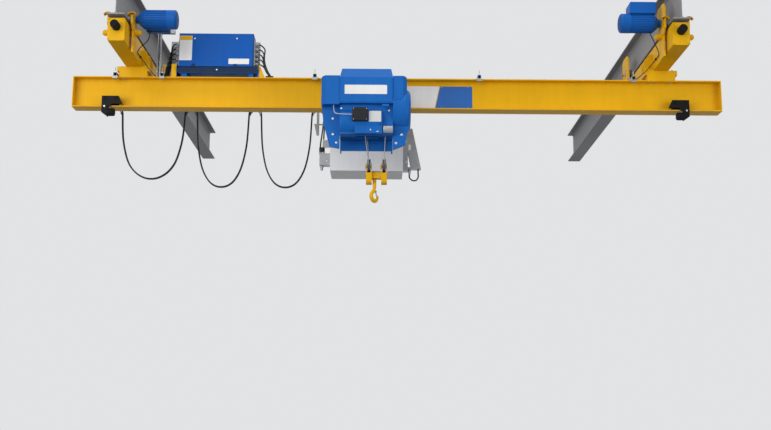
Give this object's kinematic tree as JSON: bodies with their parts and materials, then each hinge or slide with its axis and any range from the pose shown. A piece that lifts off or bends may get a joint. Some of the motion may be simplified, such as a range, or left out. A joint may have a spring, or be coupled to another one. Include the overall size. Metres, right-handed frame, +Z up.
{
  "type": "overhead bridge crane",
  "caption": "Underslung single-girder overhead crane with a side-mounted wire rope hoist, end carriages, control box and festoon cables on two runway girders.",
  "frame": {"origin": "on the left runway girder's top face, above its web, in line with the crane girder at rest", "axes": "+X along the crane girder to the right runway, +Y along the runways away from the hoist's front, +Z up"},
  "size_m": [7.384, 6.0503, 2.3731],
  "materials": {
    "runway_grey": "satin grey paint on rolled steel",
    "crane_yellow": "satin yellow paint on rolled and welded steel",
    "drive_blue": "satin blue paint on cast housings",
    "buffer_black": "moulded black cellular buffer",
    "box_blue": "satin blue powder coat",
    "galvanised": "zinc plated steel",
    "stop_black": "black paint on flat steel",
    "wheel_steel": "machined cast wheel, bright tread",
    "hoist_blue": "satin blue paint on sheet and cast covers",
    "bar_steel": "turned steel",
    "plastic_black": "moulded black plastic",
    "box_grey": "light grey powder coat",
    "hook_yellow": "yellow paint on forged and welded steel",
    "sheave_grey": "dark cast sheave with a worn groove",
    "rope_steel": "greased wire rope",
    "cable_black": "black rubber cable sheath",
    "cable_grey": "light grey cable sheath"
  },
  "bodies": {
    "runway": {"runway_left": "runway_grey", "runway_right": "runway_grey"},
    "bridge": {"main_girder": "crane_yellow", "end_carriages": "crane_yellow", "wheel_yokes": "crane_yellow", "yoke_spindles": "crane_yellow", "saddles": "crane_yellow", "travel_drives": "drive_blue", "carriage_buffers": "buffer_black", "control_box": "box_blue", "control_box_door": "box_blue", "control_box_tray": "box_blue", "cable_glands": "galvanised", "rail_arms": "galvanised", "cable_rail": "galvanised", "supply_post": "galvanised", "end_stops": "stop_black", "end_stop_buffers": "buffer_black", "festoon_clamp": "plastic_black", "festoon_loop_one": "cable_black", "motor_cables": "cable_black"},
    "wheels_left_front": {"wheels_left_front": "wheel_steel"},
    "wheels_left_rear": {"wheels_left_rear": "wheel_steel"},
    "wheels_right_front": {"wheels_right_front": "wheel_steel"},
    "wheels_right_rear": {"wheels_right_rear": "wheel_steel"},
    "trolley": {"trolley_side_plates": "hoist_blue", "trolley_cross_bars": "bar_steel", "hoist_housing": "hoist_blue", "hoist_left_cover": "hoist_blue", "hoist_right_cover": "hoist_blue", "drum_cover": "hoist_blue", "hoist_body": "hoist_blue", "rope_skirt": "hoist_blue", "rope_drum": "bar_steel", "limit_switch_box": "plastic_black", "rear_box": "box_grey", "rear_box_glands": "galvanised", "tow_arm": "galvanised", "rope_falls": "rope_steel", "festoon_lead": "cable_black", "switch_cable": "cable_grey", "trough_cable": "cable_black"},
    "trolley_wheels_left": {"trolley_wheels_left": "wheel_steel"},
    "trolley_wheels_right": {"trolley_wheels_right": "wheel_steel"},
    "festoon_carrier_one": {"festoon_carrier_one": "plastic_black", "festoon_loop_two": "cable_black"},
    "festoon_carrier_two": {"festoon_carrier_two": "plastic_black", "festoon_loop_three": "cable_black"},
    "hook_block": {"bottom_block": "hook_yellow"},
    "sheave_one": {"sheave_one": "sheave_grey"},
    "sheave_two": {"sheave_two": "sheave_grey"},
    "hook": {"hook": "hook_yellow"},
    "hook_latch": {"hook_latch": "galvanised"}
  },
  "joints": [
    {"name": "bridge_travel", "type": "slide", "parent": "runway", "child": "bridge", "axis": [0, 1, 0], "range_m": [-0.1, 3.7]},
    {"name": "trolley_travel", "type": "slide", "parent": "bridge", "child": "trolley", "axis": [1, 0, 0], "range_m": [-2.05, 3.05]},
    {"name": "hoist", "type": "slide", "parent": "trolley", "child": "hook_block", "axis": [0, 0, 1], "range_m": [-4.5, 0.04], "deforming": ["rope_falls"]},
    {"name": "wheels_left_front_spin", "type": "hinge", "parent": "bridge", "child": "wheels_left_front", "pos_m": [0, -0.625, -0.3851], "axis": [1, 0, 0], "continuous": true},
    {"name": "wheels_left_rear_spin", "type": "hinge", "parent": "bridge", "child": "wheels_left_rear", "pos_m": [0, 0.985, -0.3851], "axis": [1, 0, 0], "continuous": true},
    {"name": "wheels_right_front_spin", "type": "hinge", "parent": "bridge", "child": "wheels_right_front", "pos_m": [6.024, -0.625, -0.3851], "axis": [1, 0, 0], "continuous": true},
    {"name": "wheels_right_rear_spin", "type": "hinge", "parent": "bridge", "child": "wheels_right_rear", "pos_m": [6.024, 0.985, -0.3851], "axis": [1, 0, 0], "continuous": true},
    {"name": "trolley_wheels_left_spin", "type": "hinge", "parent": "trolley", "child": "trolley_wheels_left", "pos_m": [2.46, 0, -1.14], "axis": [0, 1, 0], "continuous": true},
    {"name": "trolley_wheels_right_spin", "type": "hinge", "parent": "trolley", "child": "trolley_wheels_right", "pos_m": [2.86, 0, -1.14], "axis": [0, 1, 0], "continuous": true},
    {"name": "carrier_one_slide", "type": "slide", "parent": "bridge", "child": "festoon_carrier_one", "axis": [1, 0, 0], "range_m": [-0.7893, 1.1744], "deforming": ["festoon_loop_one"]},
    {"name": "carrier_two_slide", "type": "slide", "parent": "trolley", "child": "festoon_carrier_two", "axis": [-1, 0, 0], "range_m": [-0.6151, 0.9151], "deforming": ["festoon_loop_two", "festoon_loop_three"]},
    {"name": "sheave_one_spin", "type": "hinge", "parent": "hook_block", "child": "sheave_one", "pos_m": [2.699, -0.435, -1.972], "axis": [1, 0, 0], "continuous": true},
    {"name": "sheave_two_spin", "type": "hinge", "parent": "hook_block", "child": "sheave_two", "pos_m": [2.863, -0.435, -1.972], "axis": [1, 0, 0], "continuous": true},
    {"name": "hook_swivel", "type": "hinge", "parent": "hook_block", "child": "hook", "pos_m": [2.76, -0.435, -2.1], "axis": [0, 0, 1], "continuous": true},
    {"name": "latch_pivot", "type": "hinge", "parent": "hook", "child": "hook_latch", "pos_m": [2.77286, -0.41968, -2.244], "axis": [-0.766, 0.6428, 0], "range_deg": [0, 40], "stiffness_Nm_per_rad": 0.05}
  ],
  "couplings": [
    {"joint": "wheels_left_front_spin", "follows": "bridge_travel", "rad_per_m": -20},
    {"joint": "wheels_left_rear_spin", "follows": "bridge_travel", "rad_per_m": -20},
    {"joint": "wheels_right_front_spin", "follows": "bridge_travel", "rad_per_m": -20},
    {"joint": "wheels_right_rear_spin", "follows": "bridge_travel", "rad_per_m": -20},
    {"joint": "trolley_wheels_left_spin", "follows": "trolley_travel", "rad_per_m": 20},
    {"joint": "trolley_wheels_right_spin", "follows": "trolley_travel", "rad_per_m": 20},
    {"joint": "carrier_one_slide", "follows": "trolley_travel", "ratio": 0.385},
    {"joint": "carrier_two_slide", "follows": "trolley_travel", "ratio": 0.3},
    {"joint": "sheave_one_spin", "follows": "hoist", "rad_per_m": 12.121},
    {"joint": "sheave_two_spin", "follows": "hoist", "rad_per_m": -36.364}
  ]
}
